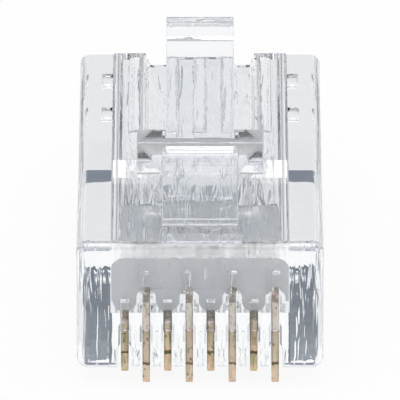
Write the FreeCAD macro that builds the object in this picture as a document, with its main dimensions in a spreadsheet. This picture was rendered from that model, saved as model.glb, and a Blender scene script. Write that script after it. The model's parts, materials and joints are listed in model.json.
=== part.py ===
"""Eight-way modular plug: clear moulded housing with a sprung latch, a load bar for the
conductors, eight gold-plated piercing contacts and a jacket clamp, as supplied before crimping.

Frame: X across the plug, the nose faces -Y, the latch is on top (+Z). The origin lies
under the middle of the plug, at the level of the long contacts' tips.
Heights in the sheet are measured from the nose's underside, depths from the nose's face.
"""
import FreeCAD, Part
import os
import re
import Sketcher

SIZES = {
    # housing
    "bodyWidth": 11.68, "bodyLength": 21.7, "noseHeight": 6.6,
    "edgeRound": 0.5, "noseRound": 0.4,
    "stepStart": 12.9, "stepRun": 0.06, "stepDrop": 0.65,
    "frontWall": 1.0, "rearFloorWall": 0.9, "roofWall": 0.45, "funnelRun": 1.6,
    "funnelGap": 0.25, "cornerRound": 0.7, "notchDepth": 0.15, "notchWidth": 0.55,
    "notchLength": 1.5, "notchInset": 1.2,
    # flutes along the cavity's roof
    "fluteStart": 13.2, "wideFluteAt": 3.1, "wideFlute": 0.35, "fluteStep": 1.32,
    "fluteRound": 0.42, "fluteDepth": 0.16,
    # recess under the latch, and the rails beside the tab
    "recessDepth": 0.55, "recessFront": 3.0, "recessSlope": 1.0, "railWidth": 8.34,
    "railFront": 8.6, "railSlope": 0.7, "railRise": 0.07, "channelTop": 5.3,
    "channelFloor": 4.84,
    # load bar
    "wireBore": 0.92, "rowRise": 1.52, "tubeWall": 0.1, "barTop": 0.25,
    "barWidth": 8.4, "barLength": 4.85, "slotWall": 0.35, "boreStop": 0.5,
    "archWidth": 0.98, "archRise": 0.1, "fingerReach": 6.5, "lobeReach": 0.5,
    "seatGap": 0.04,
    # contacts
    "contactCount": 8, "contactPitch": 1.02, "bladeThick": 0.35, "bladeFront": 0.35,
    "bladeLength": 3.5, "longProud": 1.0, "shortProud": 0.42, "crimpLevel": 0.55,
    "bite": 0.48, "shortFinger": 2.85, "longFinger": 4.35, "fingerThick": 0.6,
    "waistRise": 1.75, "tineDepth": 0.45, "tineCount": 3, "tineGap": 0.04,
    "bladeRound": 0.55, "heelRound": 0.2, "barbRise": 1.15, "barbDepth": 0.08,
    # slots and ribs
    "cutPast": 0.1, "slotGap": 0.03, "slotMouth": 2.0, "mouthWidth": 0.62, "mouthRise": 1.2,
    "mouthTaper": 0.2, "ribRound": 0.18, "grooveWidth": 0.12,
    "grooveLength": 0.95, "grooveDepth": 0.25,
    # latch
    "hingeDepth": 2.2, "hingeRise": 0.02, "knuckleRound": 0.4, "hingeGap": 0.03,
    "latchAngle": 15.1, "rootWidth": 3.6, "tabWidth": 3.25, "tabReach": 16.6,
    "tabThick": 0.75, "wingWidth": 6.02, "lockDepth": 8.4, "wingFloor": 0.85,
    "wingFront": 5.85, "wingNose": 0.9, "wingChin": 1.0, "wingCrest": 7.1,
    "lipLength": 0.8, "lipDrop": 0.35, "rootToe": 0.6, "sideGap": 0.05,
    # jacket clamp
    "clampHinge": 14.75, "clampWidth": 8.3, "clampLength": 3.7, "clampThick": 1.2,
    "clampToe": 0.5, "clampCrest": 1.5, "clampRound": 0.25, "clampGap": 0.06,
    "clampPin": 0.22,
}

doc = FreeCAD.newDocument("modular_plug")
sheet = doc.addObject("Spreadsheet::Sheet", "Sizes")
for line, (alias, value) in enumerate(SIZES.items(), start=1):
    sheet.set("A%d" % line, alias)
    sheet.set("B%d" % line, str(value))
    sheet.setAlias("B%d" % line, alias)
doc.recompute()


def bound(text):
    """The expression with each size's alias written as a reference to the sheet."""
    return re.sub(r"\b[A-Za-z]+\b(?!\()", lambda word: "Sizes." + word.group(), text)


def number(text):
    return float(getattr(sheet.evalExpression(text), "Value", sheet.evalExpression(text)))


def bind(item, prop, text):
    item.setExpression(prop, bound(text))


def depth(text):
    """Row Y of a point that lies this far behind the nose's face."""
    return "(%s) - bodyLength / 2" % text


def height(text):
    """Row Z of a point that lies this far above the nose's underside."""
    return "(%s) + longProud" % text


def side(*corners):
    """Corners of a side profile, from pairs of depth and height."""
    return [(depth(back), height(up)) for back, up in corners]


# sizes that follow from the sheet
tubeRound = "(wireBore / 2 + tubeWall)"
recessFloor = "(noseHeight - recessDepth)"
ceiling = "(noseHeight - recessDepth - roofWall)"
barRoof = "(noseHeight - recessDepth - roofWall - seatGap)"
upperRow = "(%s - barTop - wireBore / 2)" % barRoof
lowerRow = "(%s - rowRise)" % upperRow
cavityFloor = "(%s - %s - seatGap)" % (lowerRow, tubeRound)
cavityWidth = "(barWidth + 2 * seatGap)"
barFront = "(frontWall + seatGap)"
barRear = "(%s + barLength)" % barFront
funnelFront = "(%s + fingerReach + funnelGap)" % barRear
rearFloor = "(rearFloorWall - stepDrop)"
slotWidth = "(bladeThick + 2 * slotGap)"
bladeRear = "(bladeFront + bladeLength)"
hingeHeight = "(noseHeight + hingeRise)"
railTop = "(noseHeight + railRise)"
bottom = "(0 - longProud)"
above = "(noseHeight + 3 * knuckleRound)"


def newBody(label):
    body = doc.addObject("PartDesign::Body", label)
    body.Label = label
    return body


def sketchOn(body, role, label, offset=None):
    """A sketch on one of the body's origin planes, moved along its normal by offset."""
    sketch = body.newObject("Sketcher::SketchObject", label)
    plane = [item for item in body.Origin.OriginFeatures if item.Role == role][0]
    sketch.AttachmentSupport = [(plane, "")]
    sketch.MapMode = "FlatFace"
    if offset:
        bind(sketch, "AttachmentOffset.Base.z", offset)
    return sketch


def outline(sketch, corners):
    """A closed run of straight lines with every corner placed from the sheet."""
    first = sketch.GeometryCount
    points = [FreeCAD.Vector(number(across), number(up), 0) for across, up in corners]
    for start, end in zip(points, points[1:] + points[:1]):
        sketch.addGeometry(Part.LineSegment(start, end))
    for step, corner in enumerate(corners):
        last = first + (step - 1) % len(corners)
        sketch.addConstraint(Sketcher.Constraint("Coincident", last, 2, first + step, 1))
        for kind, text in zip(("DistanceX", "DistanceY"), corner):
            value = number(text)
            place = sketch.addConstraint(
                Sketcher.Constraint(kind, -1, 1, first + step, 1, value))
            bind(sketch, "Constraints[%d]" % place, text)


def circle(sketch, across, up, radius):
    """A circle whose centre and radius come from the sheet."""
    centre = FreeCAD.Vector(number(across), number(up), 0)
    ring = sketch.addGeometry(
        Part.Circle(centre, FreeCAD.Vector(0, 0, 1), number(radius)))
    rules = (("DistanceX", -1, 1, ring, 3, number(across)),
             ("DistanceY", -1, 1, ring, 3, number(up)),
             ("Radius", ring, number(radius)))
    for rule, text in zip(rules, (across, up, radius)):
        place = sketch.addConstraint(Sketcher.Constraint(*rule))
        bind(sketch, "Constraints[%d]" % place, text)


def pad(body, sketch, label, width):
    """The sketch thickened equally to both sides."""
    feature = body.newObject("PartDesign::Pad", label)
    feature.Profile = sketch
    feature.SideType = "Symmetric"
    bind(feature, "Length", width)
    doc.recompute()
    return feature


def pocket(body, sketch, label, width, reverse=None):
    """The sketch cut out: to both sides, or to one side if reverse is given."""
    before = body.Shape.Volume
    feature = body.newObject("PartDesign::Pocket", label)
    feature.Profile = sketch
    if reverse is None:
        feature.SideType = "Symmetric"
    else:
        feature.Reversed = reverse
    bind(feature, "Length", width)
    doc.recompute()
    if not feature.Shape.Volume < before - 1e-4:
        raise RuntimeError(label + " cuts nothing")
    return feature


def sidePad(body, label, width, *corners):
    sketch = sketchOn(body, "YZ_Plane", label + "Outline")
    outline(sketch, side(*corners))
    return pad(body, sketch, label, width)


def sidePocket(body, label, width, *corners):
    sketch = sketchOn(body, "YZ_Plane", label + "Outline")
    outline(sketch, side(*corners))
    return pocket(body, sketch, label, width)


def edgesWhere(shape, test):
    """Names of the edges whose middle and direction pass the test."""
    names = []
    for index, edge in enumerate(shape.Edges, start=1):
        middle = edge.valueAt((edge.FirstParameter + edge.LastParameter) / 2)
        run = edge.Vertexes[-1].Point - edge.Vertexes[0].Point
        if test(middle, run):
            names.append("Edge%d" % index)
    return names


def rounded(body, label, base, names, radius):
    feature = body.newObject("PartDesign::Fillet", label)
    feature.Base = (base, names)
    bind(feature, "Radius", radius)
    doc.recompute()
    return feature


def makeHousing():
    body = newBody("housing")
    sidePad(body, "Block", "bodyWidth",
            ("0", "0"), ("stepStart", "0"), ("stepStart + stepRun", "-stepDrop"),
            ("bodyLength", "-stepDrop"), ("bodyLength", "noseHeight"), ("0", "noseHeight"))
    block = body.Tip
    half = SIZES["bodyWidth"] / 2
    long = edgesWhere(block.Shape, lambda middle, run:
                      abs(abs(middle.x) - half) < 1e-3 and abs(run.y) > 0.1)
    rounded(body, "LongEdges", block, long, "edgeRound")
    shell = body.Tip
    face = -SIZES["bodyLength"] / 2
    top = SIZES["noseHeight"] + SIZES["longProud"]
    nose = edgesWhere(shell.Shape, lambda middle, run:
                      abs(middle.y - face) < 1e-3 and middle.z > top - SIZES["edgeRound"]
                      and abs(run.x) > 0.1)
    rounded(body, "NoseEdge", shell, nose, "noseRound")

    # the latch's root stands on the nose and is cut back to a knuckle seat
    crown = hingeHeight + " + knuckleRound * cos(latchAngle)"
    crownDepth = "hingeDepth - knuckleRound * sin(latchAngle)"
    sidePad(body, "RootBlock", "rootWidth",
            ("rootToe", recessFloor), ("hingeDepth", recessFloor),
            ("hingeDepth", crown), (crownDepth, crown), ("rootToe", "noseHeight"))
    sidePocket(body, "RootSlot", "rootWidth + 2 * sideGap",
               ("hingeDepth", recessFloor), ("recessFront + recessSlope", recessFloor),
               ("recessFront + recessSlope", above), ("hingeDepth", above))
    seat = sketchOn(body, "YZ_Plane", "KnuckleSeatOutline")
    circle(seat, depth("hingeDepth"), height(hingeHeight), "knuckleRound + hingeGap")
    pocket(body, seat, "KnuckleSeat", "rootWidth + 2 * sideGap")

    # two low rails, the recess that the wings sink into, and the tab's channel
    sidePad(body, "RailPad", "railWidth",
            ("railFront", recessFloor), ("bodyLength", recessFloor),
            ("bodyLength", railTop), ("railFront", railTop))
    sidePocket(body, "WingRecess", "railWidth",
               ("recessFront", "noseHeight"), ("recessFront + recessSlope", recessFloor),
               ("railFront", recessFloor), ("railFront + railSlope", railTop),
               ("railFront + railSlope", above), ("recessFront", above))
    channel = sketchOn(body, "XZ_Plane", "TabChannelOutline", "-bodyLength / 2")
    outline(channel, [("-channelFloor / 2", height(recessFloor)),
                      ("channelFloor / 2", height(recessFloor)),
                      ("channelTop / 2", height(railTop)),
                      ("channelTop / 2", height(above)),
                      ("-channelTop / 2", height(above)),
                      ("-channelTop / 2", height(railTop))])
    pocket(body, channel, "TabChannel", "bodyLength - railFront", True)

    # one long cavity: the load bar's seat, a funnel and the room for the cable's jacket
    sidePocket(body, "Cavity", cavityWidth,
               ("frontWall", cavityFloor), (funnelFront, cavityFloor),
               (funnelFront + " + funnelRun", rearFloor), ("bodyLength", rearFloor),
               ("bodyLength", ceiling), ("frontWall", ceiling))
    hollow = body.Tip
    wall = number(cavityWidth) / 2
    roof = number(height(ceiling))
    corners = edgesWhere(hollow.Shape, lambda middle, run:
                         abs(abs(middle.x) - wall) < 1e-3 and abs(middle.z - roof) < 1e-3
                         and abs(run.y) > 0.1)
    rounded(body, "CavityCorners", hollow, corners, "cornerRound")
    windowTop = rearFloor + " + cutPast"
    sidePocket(body, "ClampWindow", "clampWidth + 2 * clampGap",
               ("clampHinge - clampPin - clampGap", "-stepDrop - cutPast"),
               ("clampHinge + clampLength + clampGap", "-stepDrop - cutPast"),
               ("clampHinge + clampLength + clampGap", windowTop),
               ("clampHinge - clampPin - clampGap", windowTop))
    makeFlutes(body)
    makeSlots(body)
    makeGrooves(body)
    makeNotches(body)
    return body


def makeFlutes(body):
    """Round flutes along the cavity's roof, wide under the rails and shallow between."""
    sketch = sketchOn(body, "XZ_Plane", "FluteOutline", "-bodyLength / 2")
    shallow = height(ceiling + " - fluteRound + fluteDepth")
    circle(sketch, "0", shallow, "fluteRound")
    for hand in ("", "-"):
        circle(sketch, hand + "fluteStep", shallow, "fluteRound")
        circle(sketch, hand + "wideFluteAt", height(ceiling), "wideFlute")
    pocket(body, sketch, "Flutes", "bodyLength - fluteStart", True)


def makeSlots(body):
    """Slots up through the nose's floor, and the wide mouths between its ribs."""
    firstSlot = "-(contactCount - 1) / 2 * contactPitch"
    slotRear = bladeRear + " + slotGap"
    for label, start, finger in (("ShortSlot", firstSlot, "shortFinger"),
                                 ("LongSlot", firstSlot + " + contactPitch", "longFinger")):
        fingerTop = "crimpLevel + %s + slotGap" % finger
        throat = sketchOn(body, "YZ_Plane", label + "Outline", start)
        outline(throat, side(
            ("-cutPast", bottom), (slotRear, bottom), (slotRear, cavityFloor + " + cutPast"),
            ("frontWall + cutPast", cavityFloor + " + cutPast"), ("frontWall + cutPast", fingerTop),
            ("bladeFront - slotGap", fingerTop), ("bladeFront - slotGap", "slotMouth"),
            ("-cutPast", "slotMouth")))
        cut = pocket(body, throat, label, slotWidth)
        repeated(body, cut, "2 * contactPitch", "contactCount / 2")

    mouth = sketchOn(body, "XZ_Plane", "MouthOutline", "bodyLength / 2")
    flare = "(ribRound * (1 - cos(45)))"
    corners = (("contactPitch / 2", bottom), ("contactPitch / 2", "0"),
               ("mouthWidth / 2 + " + flare, flare), ("mouthWidth / 2", "ribRound"),
               ("mouthWidth / 2", "mouthRise"), (slotWidth + " / 2", "mouthRise + mouthTaper"))
    right = [(firstSlot + " + " + across, height(up)) for across, up in corners]
    left = [(firstSlot + " - (" + across + ")", height(up)) for across, up in corners]
    outline(mouth, right + left[::-1])
    cut = pocket(body, mouth, "Mouth", slotRear, False)
    repeated(body, cut, "contactPitch", "contactCount")


def makeGrooves(body):
    """A narrow tapered groove down the front of each rib."""
    middle = "(1 - contactCount / 2) * contactPitch"
    sketch = sketchOn(body, "XZ_Plane", "GrooveOutline", "bodyLength / 2")
    outline(sketch, [(middle, height("slotMouth - grooveLength")),
                     (middle + " + grooveWidth / 2", height("slotMouth")),
                     (middle + " - grooveWidth / 2", height("slotMouth"))])
    cut = pocket(body, sketch, "Groove", "grooveDepth", False)
    repeated(body, cut, "contactPitch", "contactCount - 1")


def makeNotches(body):
    """Two shallow notches in the underside, beside the cable's entry."""
    sketch = sketchOn(body, "XY_Plane", "NotchOutline", height("-stepDrop"))
    for hand in ("", "-"):
        inner = hand + "(%s / 2)" % cavityWidth
        outer = hand + "(%s / 2 + notchWidth)" % cavityWidth
        rear = depth("bodyLength - notchInset")
        front = depth("bodyLength - notchInset - notchLength")
        outline(sketch, [(inner, front), (outer, front), (outer, rear), (inner, rear)])
    pocket(body, sketch, "Notches", "notchDepth", True)


def repeated(body, cut, spacing, count):
    """The cut made again across the plug."""
    row = body.newObject("PartDesign::LinearPattern", cut.Label + "Row")
    row.Originals = [cut]
    across = [item for item in body.Origin.OriginFeatures if item.Role == "X_Axis"][0]
    row.Direction = (across, [""])
    bind(row, "Length", "(%s - 1) * %s" % (count, spacing))
    bind(row, "Occurrences", count)
    body.Tip = row
    doc.recompute()


def makeLatch():
    """Latch lever: knuckle at the root, thin tab and two wings with the locking faces."""
    body = newBody("latch_lever")
    rise = "tan(latchAngle)"
    crown = hingeHeight + " + knuckleRound / cos(latchAngle)"
    sole = hingeHeight + " - knuckleRound / cos(latchAngle)"
    topAt = "(%s + (%%s - hingeDepth) * %s)" % (crown, rise)
    soleAt = "(%s + (%%s - hingeDepth) * %s)" % (sole, rise)
    start = "hingeDepth - knuckleRound * sin(latchAngle)"
    under = "hingeDepth + knuckleRound * sin(latchAngle)"
    sidePad(body, "Root", "rootWidth",
            (start, hingeHeight + " + knuckleRound * cos(latchAngle)"),
            (under, hingeHeight + " - knuckleRound * cos(latchAngle)"),
            ("lockDepth", soleAt % "lockDepth"), ("lockDepth", topAt % "lockDepth"))
    knuckle = sketchOn(body, "YZ_Plane", "KnuckleOutline")
    circle(knuckle, depth("hingeDepth"), height(hingeHeight), "knuckleRound")
    pad(body, knuckle, "Knuckle", "rootWidth")
    tip = topAt % "tabReach"
    lip = "(tabReach - lipLength)"
    sidePad(body, "Tab", "tabWidth",
            ("lockDepth - tabThick", soleAt % "(lockDepth - tabThick)"),
            (lip, topAt % lip + " - tabThick"), (lip, topAt % lip + " - tabThick - lipDrop"),
            ("tabReach", tip + " - tabThick - lipDrop + lipLength * tan(latchAngle) / 2"),
            ("tabReach", tip),
            ("lockDepth - tabThick", topAt % "(lockDepth - tabThick)"))
    sidePad(body, "Wings", "wingWidth",
            ("wingFront", "noseHeight + wingNose"), ("lockDepth", "noseHeight + wingFloor"),
            ("lockDepth", topAt % "lockDepth"), ("wingCrest", topAt % "wingCrest"),
            ("wingFront", "noseHeight + wingChin"))
    return body


def makeClamp():
    """Jacket clamp: a bar in the underside that swings in and grips the cable's jacket."""
    body = newBody("jacket_clamp")
    low = "-stepDrop"
    sidePad(body, "Bar", "clampWidth",
            ("clampHinge", low), ("clampHinge + clampLength - clampRound", low),
            ("clampHinge + clampLength", low + " + clampRound"),
            ("clampHinge + clampLength - clampToe", low + " + clampThick"),
            ("clampHinge + clampLength - clampCrest", low + " + clampThick"),
            ("clampHinge", low + " + 2 * clampPin"))
    pin = sketchOn(body, "YZ_Plane", "PinOutline")
    circle(pin, depth("clampHinge"), height("clampPin - stepDrop"), "clampPin")
    pad(body, pin, "Pin", "clampWidth")
    return body


def block(label, across, back, up, length, width, tall):
    """A box with its middle at across, its front at back and its foot at up."""
    item = doc.addObject("Part::Box", label)
    bind(item, "Length", width)
    bind(item, "Width", length)
    bind(item, "Height", tall)
    bind(item, "Placement.Base.x", "%s - (%s) / 2" % (across, width))
    bind(item, "Placement.Base.y", depth(back))
    bind(item, "Placement.Base.z", height(up))
    return item


def rod(label, across, back, up, length, radius):
    """A cylinder along Y."""
    item = doc.addObject("Part::Cylinder", label)
    bind(item, "Radius", radius)
    bind(item, "Height", length)
    item.Placement = FreeCAD.Placement(
        FreeCAD.Vector(), FreeCAD.Rotation(FreeCAD.Vector(1, 0, 0), -90))
    bind(item, "Placement.Base.x", across)
    bind(item, "Placement.Base.y", depth(back))
    bind(item, "Placement.Base.z", height(up))
    return item


def place(index):
    """Row X of one contact and of the conductor above it."""
    return "(%d - (contactCount - 1) / 2) * contactPitch" % index


def isShort(index):
    """Contacts alternate: short ones serve the lower row of conductors."""
    return index % 2 == 0


def bladeTop(short):
    """Height of the tines before crimping: a full bite into the conductor, less the stroke."""
    row, proud = (lowerRow, "shortProud") if short else (upperRow, "longProud")
    return "(%s + bite - %s - crimpLevel)" % (row, proud)


def makeBarBlock():
    """The load bar's main block, its top edges rounded to the cavity's corners."""
    body = newBody("BarBlock")
    sidePad(body, "Block", "barWidth",
            (barFront, lowerRow), (barRear, lowerRow), (barRear, barRoof),
            (barFront, barRoof))
    base = body.Tip
    wall = number("barWidth / 2")
    roof = number(height(barRoof))
    top = edgesWhere(base.Shape, lambda middle, run:
                     abs(abs(middle.x) - wall) < 1e-3 and abs(middle.z - roof) < 1e-3
                     and abs(run.y) > 0.1)
    rounded(body, "TopEdges", base, top, "cornerRound")
    return body


def makeBar():
    """Load bar: tubes in two staggered rows, arched and slotted below for the contacts."""
    solids = [makeBarBlock()]
    cuts = []
    for index in range(int(SIZES["contactCount"])):
        short = isShort(index)
        row = lowerRow if short else upperRow
        reach = "fingerReach" if short else "lobeReach"
        if short:
            solids.append(rod("Tube%d" % index, place(index), barFront, row,
                              "barLength + " + reach, tubeRound))
        else:
            solids.append(rod("Lobe%d" % index, place(index), barRear + " - wireBore", row,
                              "wireBore + " + reach, tubeRound))
            cuts.append(rod("Arch%d" % index, place(index), barFront + " - cutPast",
                            lowerRow + " + archRise", "barLength + 2 * cutPast", "archWidth / 2"))
        cuts.append(rod("WireHole%d" % index, place(index), barFront + " + boreStop", row,
                        "barLength + " + reach, "wireBore / 2"))
        slotFront = barFront + " + slotWall"
        slotTop = bladeTop(short) + " + crimpLevel + slotGap + "
        slotTop += "shortProud" if short else "longProud"
        cuts.append(block("BladeSlot%d" % index, place(index), slotFront, cavityFloor,
                          bladeRear + " + slotGap - " + slotFront, slotWidth,
                          slotTop + " - " + cavityFloor))
    doc.recompute()
    bar = doc.addObject("Part::MultiFuse", "BarSolid")
    bar.Shapes = solids
    tools = doc.addObject("Part::MultiFuse", "BarCuts")
    tools.Shapes = cuts
    result = doc.addObject("Part::Cut", "wire_manager")
    result.Base = bar
    result.Tool = tools
    result.Label = "wire_manager"
    return result


def makeContact(index):
    """One contact: rounded toe below, a holding finger in front, piercing tines above."""
    short = isShort(index)
    top = bladeTop(short)
    proud = "shortProud" if short else "longProud"
    finger = "(shortFinger - shortProud)" if short else "(longFinger - longProud)"
    body = newBody("contact_%d" % (index + 1))
    tineFront = "(frontWall + seatGap + slotWall + tineGap)"
    run = "(%s - %s) / tineCount" % (bladeRear, tineFront)
    teeth = []
    for tooth in range(int(SIZES["tineCount"])):
        start = "%s - %d * %s" % (bladeRear, tooth, run)
        teeth.append(("%s - 0.5 * %s" % (start, run), top))
        teeth.append(("%s - 1 * %s" % (start, run), top + " - tineDepth"))
    fingerRear = "bladeFront + fingerThick"
    barb = "(barbRise - %s)" % proud
    corners = [("bladeFront", "-" + proud), (bladeRear, "-" + proud),
               (bladeRear, top + " - tineDepth")] + teeth + [
               (tineFront, "waistRise"), (fingerRear, "waistRise"), (fingerRear, finger),
               ("bladeFront + barbDepth", finger),
               ("bladeFront + barbDepth", barb + " + barbDepth"), ("bladeFront", barb)]
    sketch = sketchOn(body, "YZ_Plane", "BladeOutline", place(index))
    outline(sketch, side(*corners))
    pad(body, sketch, "Blade", "bladeThick")
    low = SIZES["longProud"] - SIZES[proud] + 0.01
    front = SIZES["bladeFront"] - SIZES["bodyLength"] / 2
    rear = front + SIZES["bladeLength"]
    for label, edge, radius in (("Toe", front, "bladeRound"), ("Heel", rear, "heelRound")):
        names = edgesWhere(body.Tip.Shape, lambda middle, run:
                           abs(middle.y - edge) < 1e-3 and middle.z < low
                           and abs(run.x) > 0.1)
        rounded(body, label, body.Tip, names, radius)
    return body


parts = [makeHousing(), makeLatch(), makeClamp(), makeBar()]
parts += [makeContact(index) for index in range(int(SIZES["contactCount"]))]
doc.recompute()

for item in doc.Objects:
    if "Invalid" in item.State or "Error" in item.State:
        raise RuntimeError("%s did not build: %s" % (item.Label, item.State))
os.makedirs("parts", exist_ok=True)
for item in parts:
    shape = item.Shape
    if shape.isNull() or not shape.isValid():
        raise RuntimeError(item.Label + " is not a valid solid")
    shape.exportStep("parts/%s.step" % item.Label)
    print("%s: %d solid(s), %.3f mm3" % (item.Label, len(shape.Solids), shape.Volume))
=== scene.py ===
import bpy, json, math
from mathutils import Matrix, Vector

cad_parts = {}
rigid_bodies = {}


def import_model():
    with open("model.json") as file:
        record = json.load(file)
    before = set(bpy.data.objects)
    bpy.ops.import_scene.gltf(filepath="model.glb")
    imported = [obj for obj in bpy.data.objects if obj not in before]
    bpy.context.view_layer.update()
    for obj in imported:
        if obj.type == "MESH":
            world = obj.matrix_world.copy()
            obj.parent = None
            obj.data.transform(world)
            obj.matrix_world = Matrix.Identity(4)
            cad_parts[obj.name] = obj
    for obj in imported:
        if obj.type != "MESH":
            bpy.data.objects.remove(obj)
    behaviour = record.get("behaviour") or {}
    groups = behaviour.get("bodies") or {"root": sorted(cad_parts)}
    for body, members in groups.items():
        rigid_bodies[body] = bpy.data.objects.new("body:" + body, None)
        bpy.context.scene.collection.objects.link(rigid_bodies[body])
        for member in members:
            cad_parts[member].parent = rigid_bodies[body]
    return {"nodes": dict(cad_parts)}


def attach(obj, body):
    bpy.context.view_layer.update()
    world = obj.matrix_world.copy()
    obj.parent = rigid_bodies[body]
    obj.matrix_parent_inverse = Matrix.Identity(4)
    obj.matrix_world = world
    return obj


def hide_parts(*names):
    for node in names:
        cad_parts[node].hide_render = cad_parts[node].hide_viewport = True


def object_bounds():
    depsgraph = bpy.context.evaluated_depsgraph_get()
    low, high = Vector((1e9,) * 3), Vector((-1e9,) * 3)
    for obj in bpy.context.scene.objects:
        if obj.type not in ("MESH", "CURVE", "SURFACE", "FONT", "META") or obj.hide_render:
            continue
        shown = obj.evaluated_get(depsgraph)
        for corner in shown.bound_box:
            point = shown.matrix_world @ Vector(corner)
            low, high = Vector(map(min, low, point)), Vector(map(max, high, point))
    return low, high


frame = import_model()
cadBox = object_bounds()
nodes = frame["nodes"]
mm = 0.001
noseFace = cadBox[0][1]
noseBase = cadBox[0][2] + 1.0 * mm      # the long contacts stand 1 mm below the nose


def deselectAll():
    if bpy.context.mode != "OBJECT":
        bpy.ops.object.mode_set(mode="OBJECT")
    bpy.ops.object.select_all(action="DESELECT")


cameraValues = {
    "elevation": 25.0,          # degrees above the table, in front of the nose
    "distance": 590 * mm,
    "scale": 21.1,              # how large the nose stands in a frame 400 wide
    "aimRise": 7.305 * mm,      # the aim point above the nose's underside
    "aimBack": 3.406 * mm,      # and behind the nose's face
    "frameWidth": 400,
    "sensorWidth": 36,
    "near": 0.01,
    "far": 20,
}


def setUpCamera(values):
    angle = math.radians(values["elevation"])
    aim = Vector((0, noseFace + values["aimBack"], noseBase + values["aimRise"]))
    away = Vector((0, -math.cos(angle), math.sin(angle)))
    bpy.ops.object.camera_add(location=aim + away * values["distance"],
                              rotation=(math.pi / 2 - angle, 0, 0))
    camera = bpy.context.active_object
    camera.name = "viewCamera"
    camera.data.sensor_width = values["sensorWidth"]
    share = values["scale"] / values["frameWidth"]      # of the frame's width to a millimetre
    camera.data.lens = share * values["distance"] / mm * values["sensorWidth"]
    camera.data.clip_start = values["near"]
    camera.data.clip_end = values["far"]
    bpy.context.scene.camera = camera
    print("camera set")


def newMaterial(name):
    material = bpy.data.materials.new(name)
    material.use_nodes = True
    tree = material.node_tree
    tree.nodes.clear()
    return material, tree, tree.nodes.new("ShaderNodeOutputMaterial")


def mathNode(tree, operation, first, second=None):
    node = tree.nodes.new("ShaderNodeMath")
    node.operation = operation
    for socket, value in zip(node.inputs, (first, second)):
        if isinstance(value, (int, float)):
            socket.default_value = value
        elif value is not None:
            tree.links.new(value, socket)
    return node.outputs[0]


def rampNode(tree, factor, stops):
    node = tree.nodes.new("ShaderNodeValToRGB")
    ramp = node.color_ramp
    ramp.elements[0].position, ramp.elements[0].color = stops[0][0], stops[0][1] + (1,)
    ramp.elements[1].position, ramp.elements[1].color = stops[-1][0], stops[-1][1] + (1,)
    for position, color in stops[1:-1]:
        ramp.elements.new(position).color = color + (1,)
    tree.links.new(factor, node.inputs[0])
    return node.outputs["Color"]


def mixNode(tree, factor, first, second):
    node = tree.nodes.new("ShaderNodeMix")
    node.data_type = "RGBA"
    tree.links.new(factor, node.inputs["Factor"])
    tree.links.new(first, node.inputs[6])       # 6 and 7 take the two colours
    tree.links.new(second, node.inputs[7])
    return node.outputs[2]


def smoothNode(tree, value, low, high):
    node = tree.nodes.new("ShaderNodeMapRange")
    node.interpolation_type = "SMOOTHSTEP"
    node.inputs["From Min"].default_value = low
    node.inputs["From Max"].default_value = high
    tree.links.new(value, node.inputs["Value"])
    return node.outputs["Result"]


def noiseNode(tree, place, stretch, scale, detail, distortion=0.0):
    mapping = tree.nodes.new("ShaderNodeMapping")
    mapping.inputs["Scale"].default_value = stretch
    tree.links.new(place.outputs["Object"], mapping.inputs["Vector"])
    node = tree.nodes.new("ShaderNodeTexNoise")
    node.inputs["Detail"].default_value = detail
    node.inputs["Distortion"].default_value = distortion
    tree.links.new(mapping.outputs[0], node.inputs["Vector"])
    if isinstance(scale, (int, float)):
        node.inputs["Scale"].default_value = scale
    else:
        tree.links.new(scale, node.inputs["Scale"])
    return node.outputs["Fac"]


stageValues = {
    "floorSize": 4.0,
    "floorTone": 0.9,
    "floorLift": 0.92,          # share of plain white in direct sight and in reflections
    # painted pool of light: the floor's glow is plain white out to 8 cm from its middle and greyer
    # further out
    "floorLightPoolStops": [(0.0, (1.0, 1.0, 1.0)), (0.08, (1.0, 1.0, 1.0)),
                   (0.30, (0.88, 0.90, 0.92)), (1.0, (0.80, 0.82, 0.85))],
    # the room's tone by height, from straight down (0) past the horizon (0.5) to straight up (1)
    "rearStops": [(0.0, (1.0, 1.0, 1.0)), (0.56, (1.0, 1.0, 1.0)), (0.61, (0.58, 0.62, 0.68)),
                  (0.66, (0.24, 0.27, 0.32)), (0.715, (0.12, 0.145, 0.18)),
                  (0.77, (0.36, 0.40, 0.44)), (0.84, (0.60, 0.62, 0.65)), (1.0, (0.62, 0.63, 0.64))],
    "frontStops": [(0.0, (1.0, 1.0, 1.0)), (0.50, (1.0, 1.0, 1.0)), (0.555, (0.90, 0.90, 0.90)),
                   (0.585, (0.10, 0.10, 0.10)), (0.63, (0.12, 0.12, 0.13)),
                   (0.66, (0.42, 0.43, 0.44)), (0.76, (0.48, 0.49, 0.50)),
                   (0.82, (0.60, 0.61, 0.62)), (1.0, (0.62, 0.63, 0.64))],
    "flankStops": [(0.0, (0.30, 0.31, 0.33)), (0.48, (0.60, 0.61, 0.63)),
                   (0.56, (0.90, 0.91, 0.93)), (0.66, (0.34, 0.37, 0.41)),
                   (0.76, (0.42, 0.45, 0.49)), (0.88, (0.62, 0.63, 0.64))],
    "turn": 0.35,               # how far the front's tones and the rear's reach into each other
    "flankFrom": 0.025,
    "flankTo": 0.26,
    "roomLight": 1.0,
    "lampSize": 0.8,
    "lampRise": 0.88,
    "lampFront": 0.36,
    "lampEnergy": 4.9,
    "bounces": 32,
    "glossyBounces": 24,
    "seeThroughBounces": 16,
}


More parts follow.
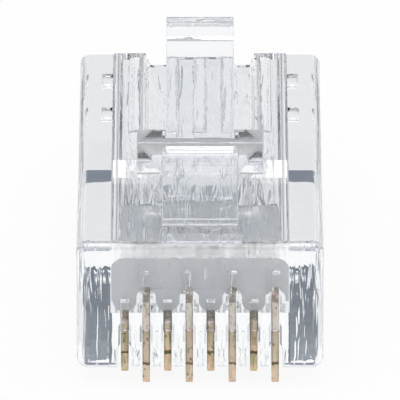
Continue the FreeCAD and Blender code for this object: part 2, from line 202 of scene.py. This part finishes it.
def makeFloorMaterial(values):
    material, tree, output = newMaterial("paleFloor")
    add, link = tree.nodes.new, tree.links.new
    diffuse = add("ShaderNodeBsdfDiffuse")
    diffuse.inputs["Color"].default_value = (values["floorTone"],) * 3 + (1,)
    place = add("ShaderNodeTexCoord")
    reach = add("ShaderNodeVectorMath")
    reach.operation = "LENGTH"
    link(place.outputs["Object"], reach.inputs[0])
    glow = add("ShaderNodeEmission")
    link(rampNode(tree, reach.outputs["Value"], values["floorLightPoolStops"]), glow.inputs["Color"])
    path = add("ShaderNodeLightPath")
    seen = mathNode(tree, "MAXIMUM", path.outputs["Is Camera Ray"], path.outputs["Is Glossy Ray"])
    # seen through the clear plastic the floor is plain white
    share = mathNode(tree, "MAXIMUM", mathNode(tree, "MULTIPLY", seen, values["floorLift"]),
                     path.outputs["Is Transmission Ray"])
    blend = add("ShaderNodeMixShader")
    link(share, blend.inputs[0])
    link(diffuse.outputs[0], blend.inputs[1])
    link(glow.outputs[0], blend.inputs[2])
    link(blend.outputs[0], output.inputs["Surface"])
    return material


def setUpStage(values):
    deselectAll()
    bpy.ops.mesh.primitive_plane_add(size=values["floorSize"], location=(0, 0, 0))
    floor = bpy.context.active_object
    floor.name = "floor"
    floor.data.materials.append(makeFloorMaterial(values))
    world = bpy.data.worlds.new("studio")
    bpy.context.scene.world = world
    world.use_nodes = True
    tree = world.node_tree
    tree.nodes.clear()
    add, link = tree.nodes.new, tree.links.new
    place = add("ShaderNodeTexCoord")
    split = add("ShaderNodeSeparateXYZ")
    link(place.outputs["Generated"], split.inputs[0])
    rise = mathNode(tree, "MULTIPLY", mathNode(tree, "ADD", split.outputs["Z"], 1.0), 0.5)
    # from the front of the room to its rear, and from its middle to its flanks
    side = smoothNode(tree, split.outputs["Y"], -values["turn"], values["turn"])
    room = mixNode(tree, side, rampNode(tree, rise, values["frontStops"]),
                   rampNode(tree, rise, values["rearStops"]))
    off = smoothNode(tree, mathNode(tree, "ABSOLUTE", split.outputs["X"]),
                     values["flankFrom"], values["flankTo"])
    room = mixNode(tree, off, room, rampNode(tree, rise, values["flankStops"]))
    background = add("ShaderNodeBackground")
    link(room, background.inputs["Color"])
    background.inputs["Strength"].default_value = values["roomLight"]
    link(background.outputs[0], add("ShaderNodeOutputWorld").inputs["Surface"])
    front, up = values["lampFront"], values["lampRise"]
    bpy.ops.object.light_add(type="AREA", location=(0, -front, up),
                             rotation=(math.atan2(front, up), 0, 0))
    lamp = bpy.context.active_object
    lamp.name = "softLamp"
    lamp.data.size = values["lampSize"]
    lamp.data.energy = values["lampEnergy"]
    scene = bpy.context.scene
    scene.view_settings.view_transform = "Standard"
    scene.cycles.max_bounces = values["bounces"]
    scene.cycles.transmission_bounces = values["bounces"]
    scene.cycles.glossy_bounces = values["glossyBounces"]
    scene.cycles.transparent_max_bounces = values["seeThroughBounces"]
    print("stage ready")


# shared effects

def newGroup(name, inputs, outputs):
    group = bpy.data.node_groups.new(name, "ShaderNodeTree")
    for socket, kind, value in inputs:
        made = group.interface.new_socket(socket, in_out="INPUT", socket_type=kind)
        if value is not None:
            made.default_value = value
    for socket, kind in outputs:
        group.interface.new_socket(socket, in_out="OUTPUT", socket_type=kind)
    return group, group.nodes.new("NodeGroupInput"), group.nodes.new("NodeGroupOutput")


rippleGrains = {        # each noise: stretch, detail, distortion
    "Wave": ((1, 1, 1), 2.0, 0.0),
    "Drag": ((1, 0.09, 0.2), 2.5, 0.9),
    "Nose Grain": ((1, 0.2, 0.12), 2.0, 0.4),
}


def makeRippleGroup():
    # moulded plastic: slow waves all over, drag lines along the plug over its cavity, where
    # it is hazed too, and upright ones on the nose, whose lower part sags
    group, given, put = newGroup(
        "mouldRipple",
        [("Wave", "NodeSocketFloat", 500.0), ("Drag", "NodeSocketFloat", 2600.0),
         ("Drag Depth", "NodeSocketFloat", 3.0), ("Half Width", "NodeSocketFloat", 0.0042),
         ("Above", "NodeSocketFloat", 0.005), ("Below", "NodeSocketFloat", 0.00698),
         ("Rear", "NodeSocketFloat", 0.0101),
         ("Nose Grain", "NodeSocketFloat", 2400.0), ("Nose Depth", "NodeSocketFloat", 3.0),
         ("Nose Back", "NodeSocketFloat", -0.0104), ("Nose Side", "NodeSocketFloat", 0.0043),
         ("Nose Rise", "NodeSocketFloat", 0.0045), ("Nose Sag", "NodeSocketFloat", 0.0),
         ("Haze", "NodeSocketFloat", 0.3)],
        [("Height", "NodeSocketFloat"), ("Roughness", "NodeSocketFloat")])
    add, link = group.nodes.new, group.links.new
    place = add("ShaderNodeTexCoord")
    wave, along, upright = [
        noiseNode(group, place, stretch, given.outputs[name], detail, distortion)
        for name, (stretch, detail, distortion) in rippleGrains.items()]
    split = add("ShaderNodeSeparateXYZ")
    link(place.outputs["Object"], split.inputs[0])
    across = mathNode(group, "ABSOLUTE", split.outputs["X"])
    inside = mathNode(group, "LESS_THAN", across, given.outputs["Half Width"])
    for test, axis, limit in (("GREATER_THAN", "Z", "Above"), ("LESS_THAN", "Z", "Below"),
                              ("LESS_THAN", "Y", "Rear")):
        passed = mathNode(group, test, split.outputs[axis], given.outputs[limit])
        inside = mathNode(group, "MULTIPLY", inside, passed)
    front = mathNode(group, "LESS_THAN", split.outputs["Y"], given.outputs["Nose Back"])
    outer = mathNode(group, "GREATER_THAN", across, given.outputs["Nose Side"])
    front = mathNode(group, "MULTIPLY", front, outer)
    drawn = mathNode(group, "MULTIPLY", along, given.outputs["Drag Depth"])
    drawn = mathNode(group, "MULTIPLY", drawn, inside)
    nose = mathNode(group, "MULTIPLY", upright, given.outputs["Nose Depth"])
    under = mathNode(group, "SUBTRACT", given.outputs["Nose Rise"], split.outputs["Z"])
    under = mathNode(group, "MAXIMUM", under, 0.0)
    sag = mathNode(group, "MULTIPLY", mathNode(group, "MULTIPLY", under, under),
                   given.outputs["Nose Sag"])
    nose = mathNode(group, "ADD", nose, sag)
    nose = mathNode(group, "MULTIPLY", nose, front)
    height = mathNode(group, "ADD", mathNode(group, "ADD", wave, drawn), nose)
    link(height, put.inputs["Height"])
    link(mathNode(group, "MULTIPLY", inside, given.outputs["Haze"]), put.inputs["Roughness"])
    return group


cloudValues = {"stretch": (1, 0.15, 0.25), "detail": 2.0, "from": 0.38, "to": 0.62}


def makeCloudGroup():
    # natural plastic: soft pale and dark streaks
    group, given, put = newGroup(
        "softCloud",
        [("Grain", "NodeSocketFloat", 1500.0), ("Light", "NodeSocketColor", None),
         ("Dark", "NodeSocketColor", None)],
        [("Color", "NodeSocketColor")])
    add, link = group.nodes.new, group.links.new
    place = add("ShaderNodeTexCoord")
    streak = noiseNode(group, place, cloudValues["stretch"], given.outputs["Grain"],
                       cloudValues["detail"])
    mask = rampNode(group, streak, [(cloudValues["from"], (0, 0, 0)),
                                    (cloudValues["to"], (1, 1, 1))])
    link(mixNode(group, mask, given.outputs["Light"], given.outputs["Dark"]), put.inputs["Color"])
    return group


wearMarks = {       # each noise: stretch, grain, detail, where its mask starts, is full, how full
    "patches": ((1, 1, 0.45), 4200.0, 2.5, 0.42, 0.62, 1.0),
    "pits": ((1, 1, 0.6), 6500.0, 3.0, 0.60, 0.70, 0.9),
    "scores": ((1, 1, 0.10), 5200.0, 2.0, 0.52, 0.66, 0.75),
    "blushes": ((1, 1, 0.4), 3100.0, 2.0, 0.50, 0.64, 0.8),
}
wearValues = {
    "wander": 0.25 * mm,        # how far the edges of root, line and end stray
    "tipShare": 0.6,
    "smoothest": 0.2,
    "roughRange": 0.3,
}


def makeWearGroup():
    # plating: patches of a second tone, a pale root, blushes and a worn end, scores,
    # small dark pits, and one dark line across that is painted shade of a ledge
    group, given, put = newGroup(
        "platingWear",
        [("Base", "NodeSocketColor", None), ("Patch", "NodeSocketColor", None),
         ("Pit And Shade Line", "NodeSocketColor", None), ("Tip", "NodeSocketColor", None),
         ("Tip Height", "NodeSocketFloat", 0.0006), ("Shade Line Height", "NodeSocketFloat", 0.0012),
         ("Shade Line Size", "NodeSocketFloat", 0.00006), ("Pale Height", "NodeSocketFloat", 0.003),
         ("Pale", "NodeSocketColor", None), ("Score", "NodeSocketColor", None)],
        [("Color", "NodeSocketColor"), ("Roughness", "NodeSocketFloat"),
         ("Height", "NodeSocketFloat")])
    add, link = group.nodes.new, group.links.new
    place = add("ShaderNodeTexCoord")
    noises, masks = {}, {}
    for name, (stretch, scale, detail, start, full, most) in wearMarks.items():
        noises[name] = noiseNode(group, place, stretch, scale, detail)
        masks[name] = rampNode(group, noises[name], [(start, (0, 0, 0)), (full, (most,) * 3)])
    split = add("ShaderNodeSeparateXYZ")
    link(place.outputs["Object"], split.inputs[0])
    wander = mathNode(group, "MULTIPLY", mathNode(group, "SUBTRACT", noises["pits"], 0.5),
                      wearValues["wander"])
    rise = mathNode(group, "ADD", split.outputs["Z"], wander)
    tip = mathNode(group, "LESS_THAN", rise, given.outputs["Tip Height"])
    tip = mathNode(group, "MAXIMUM", mathNode(group, "MULTIPLY", tip, wearValues["tipShare"]),
                   masks["blushes"])
    root = mathNode(group, "GREATER_THAN", rise, given.outputs["Pale Height"])
    # painted shade: a thin dark band across the blade, standing in for the shadow of a ledge, drawn
    # in the pit colour
    off = mathNode(group, "ABSOLUTE", mathNode(group, "SUBTRACT", rise, given.outputs["Shade Line Height"]))
    paintedShadeLine = mathNode(group, "LESS_THAN", off, given.outputs["Shade Line Size"])
    color = mixNode(group, masks["patches"], given.outputs["Base"], given.outputs["Patch"])
    color = mixNode(group, root, color, given.outputs["Pale"])
    color = mixNode(group, tip, color, given.outputs["Tip"])
    color = mixNode(group, masks["scores"], color, given.outputs["Score"])
    color = mixNode(group, mathNode(group, "MAXIMUM", masks["pits"], paintedShadeLine), color,
                    given.outputs["Pit And Shade Line"])
    link(color, put.inputs["Color"])
    rough = mathNode(group, "MULTIPLY", noises["patches"], wearValues["roughRange"])
    link(mathNode(group, "ADD", rough, wearValues["smoothest"]), put.inputs["Roughness"])
    link(mathNode(group, "SUBTRACT", noises["patches"], masks["pits"]), put.inputs["Height"])
    return group


def principled(tree, output, values):
    shader = tree.nodes.new("ShaderNodeBsdfPrincipled")
    for socket, value in values.items():
        shader.inputs[socket].default_value = value
    tree.links.new(shader.outputs[0], output.inputs["Surface"])
    return shader


def placeGroup(tree, group, values):
    node = tree.nodes.new("ShaderNodeGroup")
    node.node_tree = group
    for socket, value in values.items():
        node.inputs[socket].default_value = value
    return node


def bumpNode(tree, height, distance):
    node = tree.nodes.new("ShaderNodeBump")
    node.inputs["Distance"].default_value = distance
    tree.links.new(height, node.inputs["Height"])
    return node.outputs["Normal"]


clearValues = {
    "surface": {"Base Color": (0.965, 0.975, 0.99, 1), "IOR": 1.585,
                "Transmission Weight": 1.0},
    "ripple": {"Wave": 500.0, "Drag": 1500.0, "Drag Depth": 20.0, "Half Width": 3.55 * mm,
               "Above": 5.0 * mm, "Below": 6.98 * mm, "Rear": 10.1 * mm, "Haze": 0.08,
               "Nose Grain": 2300.0, "Nose Depth": 7.0, "Nose Back": -10.4 * mm,
               "Nose Side": 4.3 * mm, "Nose Rise": 4.5 * mm, "Nose Sag": 1.3e6},
    "rippleDepth": 0.012 * mm,
}
milkyValues = {
    "surface": {"Roughness": 0.5, "IOR": 1.4, "Transmission Weight": 0.02},
    "cloud": {"Grain": 1500.0, "Light": (1.0, 1.0, 1.0, 1), "Dark": (0.95, 0.97, 0.99, 1)},
    "ripple": {"Wave": 900.0, "Drag": 2000.0, "Drag Depth": 0.3, "Half Width": 5.0 * mm,
               "Above": 0.0, "Nose Depth": 0.0},
    "rippleDepth": 0.01 * mm,
}
# each blade gets one thin dark band of painted shade, where a ledge would cast its shadow
goldValues = {
    "surface": {"Metallic": 0.45},
    "long": {"Base": (0.72, 0.59, 0.45, 1), "Patch": (0.71, 0.61, 0.45, 1),
             "Pit And Shade Line": (0.16, 0.14, 0.06, 1), "Tip": (0.85, 0.60, 0.43, 1),
             "Score": (0.44, 0.40, 0.26, 1), "Pale": (1.0, 0.91, 0.79, 1),
             "Tip Height": 0.40 * mm, "Shade Line Height": 1.17 * mm, "Shade Line Size": 0.05 * mm,
             "Pale Height": 3.0 * mm},
    "short": {"Base": (0.80, 0.64, 0.44, 1), "Patch": (0.54, 0.48, 0.27, 1),
              "Pit And Shade Line": (0.12, 0.11, 0.045, 1), "Tip": (0.84, 0.55, 0.36, 1),
              "Score": (0.27, 0.25, 0.11, 1), "Pale": (1.0, 0.90, 0.79, 1),
              "Tip Height": 0.85 * mm, "Shade Line Height": 1.75 * mm, "Shade Line Size": 0.05 * mm,
              "Pale Height": 3.3 * mm},
    "wearDepth": 0.01 * mm,
}


def makeMaterials():
    ripple, cloud, wear = makeRippleGroup(), makeCloudGroup(), makeWearGroup()
    made = {}
    for name, values in (("clearPlastic", clearValues), ("milkyPlastic", milkyValues)):
        material, tree, output = newMaterial(name)
        shader = principled(tree, output, values["surface"])
        waves = placeGroup(tree, ripple, values["ripple"])
        tree.links.new(bumpNode(tree, waves.outputs["Height"], values["rippleDepth"]),
                       shader.inputs["Normal"])
        if "Haze" in values["ripple"]:
            tree.links.new(waves.outputs["Roughness"], shader.inputs["Roughness"])
        if "cloud" in values:
            soft = placeGroup(tree, cloud, values["cloud"])
            tree.links.new(soft.outputs["Color"], shader.inputs["Base Color"])
        made[name] = material
    for length in ("long", "short"):
        material, tree, output = newMaterial(length + "GoldPlate")
        shader = principled(tree, output, goldValues["surface"])
        worn = placeGroup(tree, wear, goldValues[length])
        tree.links.new(worn.outputs["Color"], shader.inputs["Base Color"])
        tree.links.new(worn.outputs["Roughness"], shader.inputs["Roughness"])
        tree.links.new(bumpNode(tree, worn.outputs["Height"], goldValues["wearDepth"]),
                       shader.inputs["Normal"])
        made[length + "GoldPlate"] = material
    print("materials made")
    return made


dressValues = {"weld": 1e-6, "flat": 0.3, "edge": 0.04 * mm, "latchEdge": 0.07 * mm,
               "bladeEdge": 0.11 * mm, "segments": 3, "sharp": 30, "smooth": 50, "weight": 100}


def dress(node, name, body, material, edge):
    deselectAll()
    source = nodes[node]
    source.select_set(True)
    bpy.context.view_layer.objects.active = source
    bpy.ops.object.duplicate()
    piece = bpy.context.active_object
    bpy.ops.object.parent_clear(type="CLEAR_KEEP_TRANSFORM")
    piece.name = name
    bpy.ops.object.mode_set(mode="EDIT")
    bpy.ops.mesh.select_all(action="SELECT")
    bpy.ops.mesh.remove_doubles(threshold=dressValues["weld"])
    bpy.ops.mesh.dissolve_limited(angle_limit=math.radians(dressValues["flat"]))
    bpy.ops.mesh.normals_make_consistent(inside=False)
    bpy.ops.object.mode_set(mode="OBJECT")
    if edge:
        softened = piece.modifiers.new("softEdges", "BEVEL")
        softened.width = edge
        softened.segments = dressValues["segments"]
        softened.limit_method = "ANGLE"
        softened.angle_limit = math.radians(dressValues["sharp"])
        bpy.ops.object.modifier_apply(modifier="softEdges")
    bpy.ops.object.shade_smooth_by_angle(angle=math.radians(dressValues["smooth"]))
    flat = piece.modifiers.new("flatFaces", "WEIGHTED_NORMAL")
    flat.keep_sharp = True
    flat.weight = dressValues["weight"]
    bpy.ops.object.modifier_apply(modifier="flatFaces")
    piece.data.materials.clear()
    piece.data.materials.append(material)
    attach(piece, body)
    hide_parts(node)
    print(name, "dressed,", len(piece.data.polygons), "faces")


setUpCamera(cameraValues)
setUpStage(stageValues)
made = makeMaterials()
edge = dressValues["edge"]
dress("housing", "clearHousing", "shell", made["clearPlastic"], edge)
dress("latch_lever", "clearLatch", "latch", made["clearPlastic"],
      dressValues["latchEdge"])
dress("jacket_clamp", "clampBar", "clamp", made["clearPlastic"], edge)
dress("wire_manager", "loadBar", "shell", made["milkyPlastic"], 0)
for number in range(1, 9):
    name = "contact_%d" % number
    plate = made["shortGoldPlate" if number % 2 else "longGoldPlate"]
    dress(name, "goldBlade%d" % number, name, plate, dressValues["bladeEdge"])
